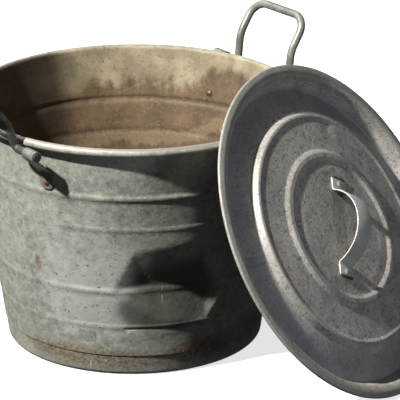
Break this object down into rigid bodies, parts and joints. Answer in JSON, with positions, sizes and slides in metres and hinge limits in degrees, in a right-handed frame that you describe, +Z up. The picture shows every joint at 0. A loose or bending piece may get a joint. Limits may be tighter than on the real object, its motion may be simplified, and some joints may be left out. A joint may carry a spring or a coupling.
{
  "type": "lidded boiling pot",
  "caption": "Tapered galvanised steel boiling pot with swinging bail handles and a ringed lid with a strap grip; the lid leans on the rim.",
  "frame": {"origin": "centre of the pot's flat base, on the surface that it stands on", "axes": "+Z up along the pot's axis; +X towards the side where the lid leans, +Y to the rear"},
  "size_m": [0.6253, 0.5456, 0.3781],
  "materials": {
    "wall_zinc": "weathered galvanised steel: grey spangle outside, rust-tanned inside",
    "pan_zinc": "weathered galvanised steel with rust at the foot",
    "lid_zinc": "dull galvanised steel, finely speckled",
    "strap_zinc": "galvanised steel, worn bright on its edges",
    "bail_zinc": "hot-dipped zinc, smooth and satin",
    "ear_zinc": "galvanised steel, dull",
    "copper": "old copper",
    "steel_wire": "plain drawn wire, hidden",
    "zinc_rivet": "worn zinc"
  },
  "bodies": {
    "pot": {"pot_wall": "wall_zinc", "pot_bottom": "pan_zinc", "rim_wire": "steel_wire", "ear_right_rear": "ear_zinc", "ear_rivet_right_rear": "copper", "ear_burr_right_rear": "copper", "ear_right_front": "ear_zinc", "ear_rivet_right_front": "copper", "ear_burr_right_front": "copper", "ear_left_rear": "ear_zinc", "ear_rivet_left_rear": "copper", "ear_burr_left_rear": "copper", "ear_left_front": "ear_zinc", "ear_rivet_left_front": "copper", "ear_burr_left_front": "copper"},
    "right_bail": {"bail_right": "bail_zinc"},
    "left_bail": {"bail_left": "bail_zinc"},
    "lid": {"lid_panel": "lid_zinc", "lid_edge_wire": "steel_wire", "lid_strap": "strap_zinc", "lid_rivet_upper": "zinc_rivet", "lid_rivet_lower": "zinc_rivet", "lid_burr_upper": "zinc_rivet", "lid_burr_lower": "zinc_rivet"}
  },
  "joints": [
    {"name": "right_bail_swing", "type": "hinge", "parent": "pot", "child": "right_bail", "pos_m": [0.16548, 0.12929, 0.298], "axis": [-0.6157, 0.788, 0], "range_deg": [-10, 148]},
    {"name": "left_bail_swing", "type": "hinge", "parent": "pot", "child": "left_bail", "pos_m": [-0.16989, -0.12344, 0.298], "axis": [0.5878, -0.809, 0], "range_deg": [-23, 135]},
    {"name": "lid_lift_off", "type": "slide", "parent": "pot", "child": "lid", "axis": [0.7257, -0.4677, 0.5045], "range_m": [0, 0.35]}
  ]
}
